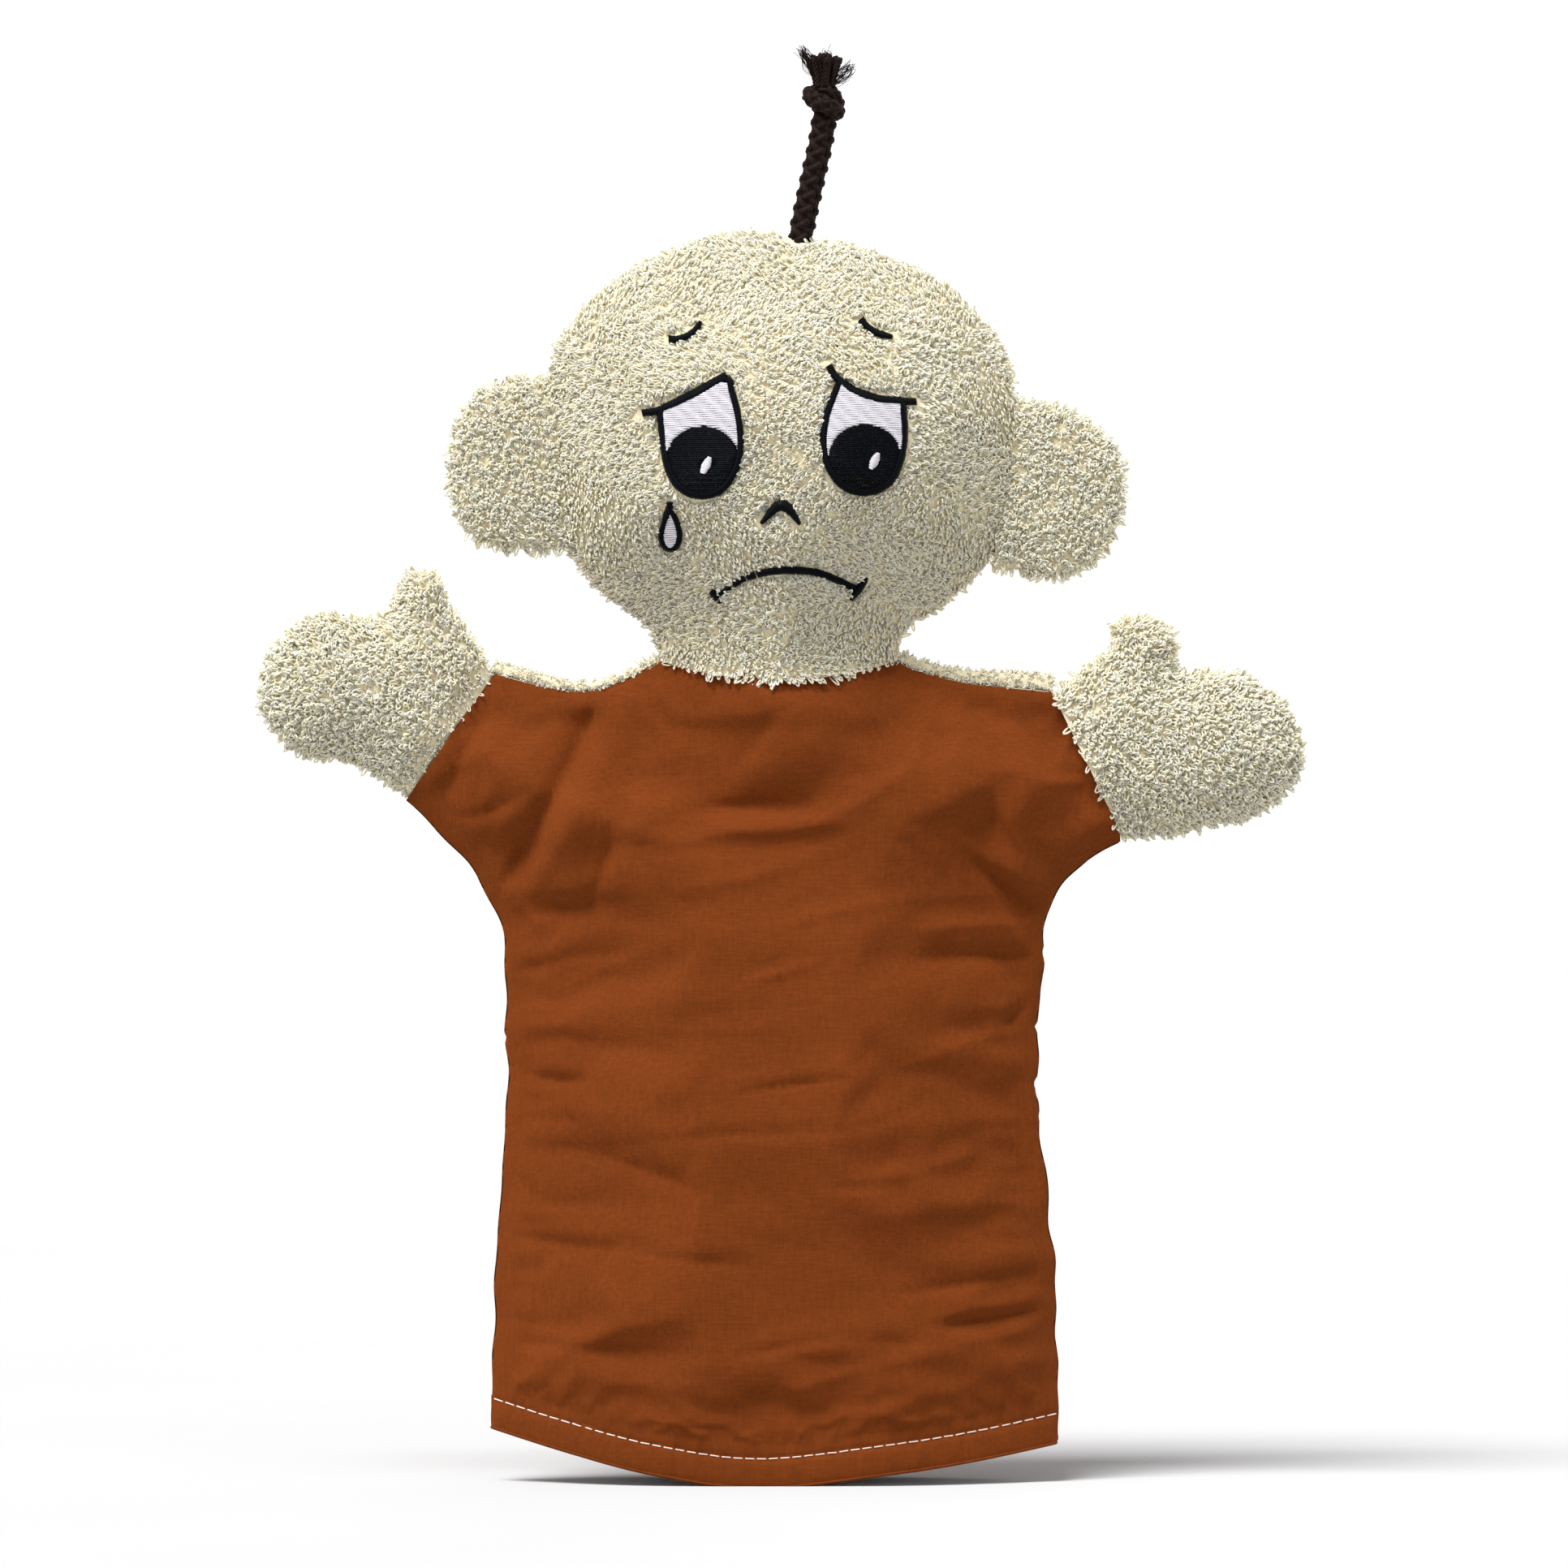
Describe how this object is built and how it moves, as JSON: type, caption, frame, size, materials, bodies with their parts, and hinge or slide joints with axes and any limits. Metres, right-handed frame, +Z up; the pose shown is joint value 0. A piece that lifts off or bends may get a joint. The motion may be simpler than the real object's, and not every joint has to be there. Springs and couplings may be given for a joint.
{
  "type": "hand puppet",
  "caption": "Soft hand puppet with a stuffed terry head, ears, mitten hands, a woven cotton body open at the hem and a knotted cord for hair.",
  "frame": {"origin": "middle of the hand opening, level with the hem's lowest point, on the plane where the front and back are sewn", "axes": "+Z up from the hem to the hair, -Y the way the face looks, +X the puppet's own left"},
  "size_m": [0.2417, 0.0638, 0.3327],
  "materials": {
    "cream_terry": "looped cotton terry",
    "brown_cotton": "fine woven cotton",
    "pale_thread": "sewing thread",
    "black_thread": "satin stitch embroidery",
    "white_thread": "satin stitch embroidery",
    "hair_cord": "braided cord",
    "stuffing": "polyester fibre",
    "card": "plain card tube"
  },
  "bodies": {
    "torso": {"body_front_panel": "brown_cotton", "body_back_panel": "brown_cotton", "back_shoulder_yoke": "cream_terry", "hem_stitching": "pale_thread"},
    "head": {"head_front_panel": "cream_terry", "head_back_panel": "cream_terry", "finger_tube": "card", "head_stuffing": "stuffing", "left_ear_front": "cream_terry", "left_ear_back": "cream_terry", "right_ear_front": "cream_terry", "right_ear_back": "cream_terry", "left_eye_outline": "black_thread", "left_eye_white": "white_thread", "left_eye_glint": "white_thread", "left_eyebrow": "black_thread", "right_eye_outline": "black_thread", "right_eye_white": "white_thread", "right_eye_glint": "white_thread", "right_eyebrow": "black_thread", "nose": "black_thread", "mouth": "black_thread", "teardrop_outline": "black_thread", "teardrop_fill": "white_thread"},
    "hair": {"hair_cord": "hair_cord", "hair_knot": "hair_cord", "hair_tuft": "hair_cord"},
    "left_arm": {"left_sleeve_front": "brown_cotton", "left_sleeve_back": "brown_cotton", "left_sleeve_yoke": "cream_terry"},
    "left_hand": {"left_hand_front": "cream_terry", "left_hand_back": "cream_terry"},
    "right_arm": {"right_sleeve_front": "brown_cotton", "right_sleeve_back": "brown_cotton", "right_sleeve_yoke": "cream_terry"},
    "right_hand": {"right_hand_front": "cream_terry", "right_hand_back": "cream_terry"}
  },
  "joints": [
    {"name": "head_nod", "type": "hinge", "parent": "torso", "child": "head", "pos_m": [0, 0, 0.1635], "axis": [1, 0, 0], "range_deg": [-10, 18], "stiffness_Nm_per_rad": 0.6},
    {"name": "hair_sway", "type": "hinge", "parent": "head", "child": "hair", "pos_m": [0.0054, 0, 0.2898], "axis": [0, 1, 0], "range_deg": [-20, 20], "stiffness_Nm_per_rad": 0.01},
    {"name": "left_arm_raise", "type": "hinge", "parent": "torso", "child": "left_arm", "pos_m": [0.0495, 0, 0.1605], "axis": [0, -1, 0], "range_deg": [-22, 12], "stiffness_Nm_per_rad": 0.2},
    {"name": "left_hand_fold", "type": "hinge", "parent": "left_arm", "child": "left_hand", "pos_m": [0.072, 0, 0.16635], "axis": [0.4379, 0, -0.899], "range_deg": [-15, 40], "stiffness_Nm_per_rad": 0.08},
    {"name": "right_arm_raise", "type": "hinge", "parent": "torso", "child": "right_arm", "pos_m": [-0.05, 0, 0.161], "axis": [0, 1, 0], "range_deg": [-25, 12], "stiffness_Nm_per_rad": 0.2},
    {"name": "right_hand_fold", "type": "hinge", "parent": "right_arm", "child": "right_hand", "pos_m": [-0.07595, 0, 0.1731], "axis": [0.5731, 0, 0.8195], "range_deg": [-15, 40], "stiffness_Nm_per_rad": 0.08}
  ]
}
